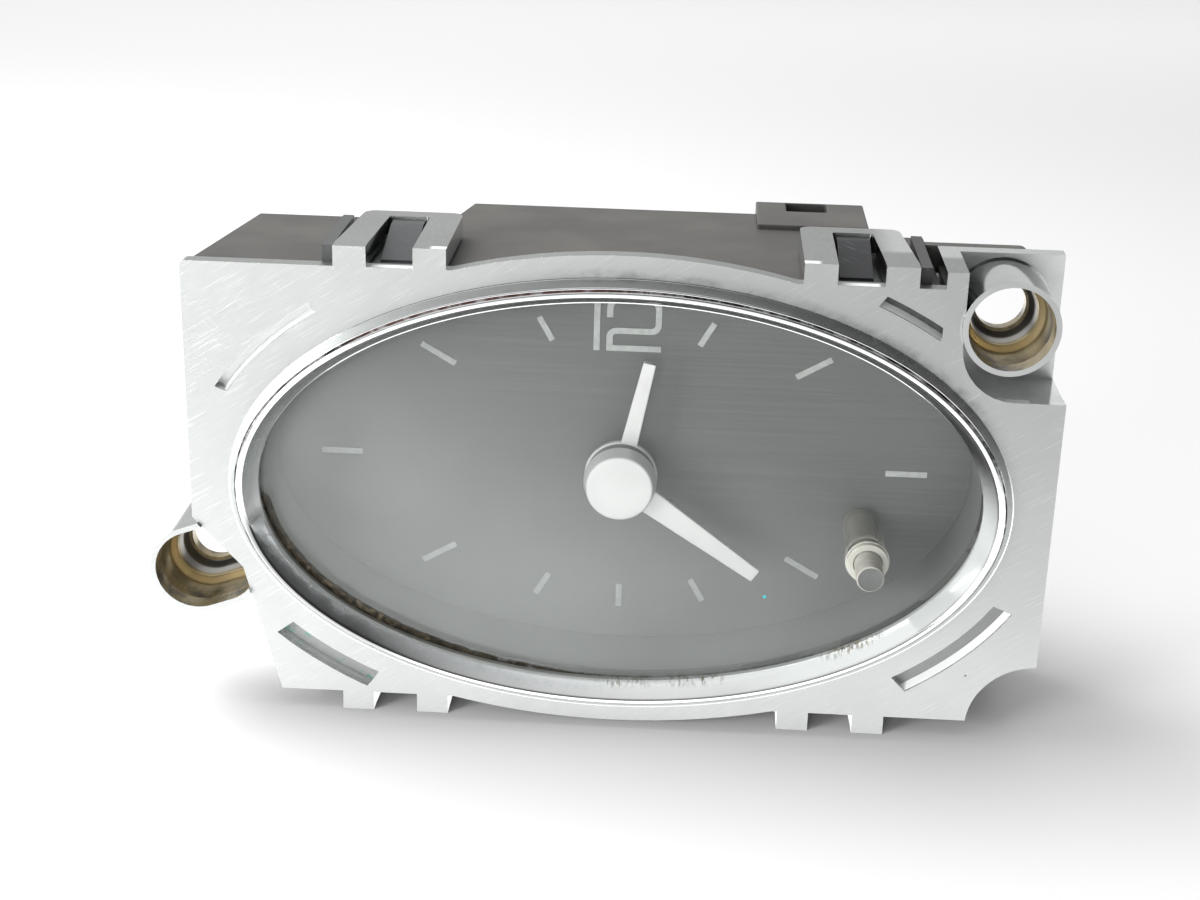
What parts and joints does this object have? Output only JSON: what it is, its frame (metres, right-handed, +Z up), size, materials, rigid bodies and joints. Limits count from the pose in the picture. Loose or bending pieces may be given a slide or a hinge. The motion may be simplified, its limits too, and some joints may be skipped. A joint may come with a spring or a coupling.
{
  "type": "car dashboard clock",
  "caption": "Oval-faced analogue car dashboard clock with a plated bezel frame, snap loops, screw bosses, a set button, a geared quartz movement and a black rear housing with a plug socket.",
  "frame": {"origin": "on the hand axis, in the plane of the bezel plate's front face", "axes": "+X to the right as seen by the driver, +Y back into the dashboard, +Z up towards the top of the dial"},
  "size_m": [0.1158, 0.0452, 0.0638],
  "materials": {
    "satin_plating": "satin chrome plating on moulded plastic",
    "bright_plating": "polished chrome plating on moulded plastic",
    "clear_lens": "clear moulded plastic with a dusty haze",
    "dial_grey": "grey printed plastic",
    "mark_white": "pale printed ink",
    "hand_white": "white moulded plastic",
    "button_smoke": "smoky translucent plastic",
    "housing_black": "black moulded plastic",
    "light_box_white": "white moulded plastic",
    "lamp_glass": "clear glass bulb",
    "board_green": "glass-fibre circuit board",
    "component_black": "moulded component body",
    "can_silver": "drawn metal can",
    "contact_tin": "tinned contact",
    "screw_steel": "zinc-plated steel",
    "movement_ivory": "moulded movement plate",
    "wheel_acetal": "moulded acetal wheel",
    "arbor_brass": "turned brass",
    "iron_core": "soft iron",
    "copper_wire": "enamelled copper winding"
  },
  "bodies": {
    "case": {"bezel_frame": "satin_plating", "bezel_ring": "bright_plating", "lens": "clear_lens", "dial_surround": "dial_grey", "dial": "dial_grey", "hour_marks": "mark_white", "switch_body": "housing_black", "rear_housing": "housing_black", "connector_shroud": "housing_black", "housing_screws": "screw_steel", "light_box": "light_box_white", "lamps": "lamp_glass", "lamp_sockets": "housing_black", "circuit_board": "board_green", "driver_chip": "component_black", "quartz_crystal": "can_silver", "capacitors": "can_silver", "resistors": "component_black", "connector_base": "housing_black", "connector_pins": "contact_tin", "movement_front_plate": "movement_ivory", "movement_back_plate": "movement_ivory", "movement_pillars": "screw_steel", "movement_screws": "screw_steel", "stator": "iron_core", "coil_core": "iron_core", "coil_bobbin": "component_black", "coil_winding": "copper_wire"},
    "minute_train": {"minute_arbor": "arbor_brass", "centre_wheel": "wheel_acetal", "minute_hand": "hand_white", "hand_cap": "hand_white"},
    "hour_train": {"hour_wheel": "wheel_acetal", "hour_hand": "hand_white"},
    "motion_train": {"motion_wheel": "wheel_acetal"},
    "third_train": {"third_wheel": "wheel_acetal"},
    "rotor": {"rotor_pinion": "wheel_acetal", "rotor_magnet": "iron_core"},
    "button": {"set_button": "button_smoke", "switch_plunger": "housing_black"}
  },
  "joints": [
    {"name": "minute_turn", "type": "hinge", "parent": "case", "child": "minute_train", "pos_m": [0, 0, 0], "axis": [0, 1, 0], "continuous": true},
    {"name": "hour_turn", "type": "hinge", "parent": "case", "child": "hour_train", "pos_m": [0, 0, 0], "axis": [0, 1, 0], "continuous": true},
    {"name": "motion_turn", "type": "hinge", "parent": "case", "child": "motion_train", "pos_m": [0.00482, 0, 0.00575], "axis": [0, 1, 0], "continuous": true},
    {"name": "third_turn", "type": "hinge", "parent": "case", "child": "third_train", "pos_m": [-0.00922, 0, -0.00645], "axis": [0, 1, 0], "continuous": true},
    {"name": "rotor_turn", "type": "hinge", "parent": "case", "child": "rotor", "pos_m": [-0.00647, 0, -0.01672], "axis": [0, 1, 0], "continuous": true},
    {"name": "button_press", "type": "slide", "parent": "case", "child": "button", "axis": [0, 1, 0], "range_m": [0, 0.0008], "stiffness_N_per_m": 2000}
  ],
  "couplings": [
    {"joint": "hour_turn", "follows": "minute_turn", "ratio": 0.083333},
    {"joint": "motion_turn", "follows": "minute_turn", "ratio": -0.33333},
    {"joint": "third_turn", "follows": "minute_turn", "ratio": -8},
    {"joint": "rotor_turn", "follows": "minute_turn", "ratio": 60}
  ]
}
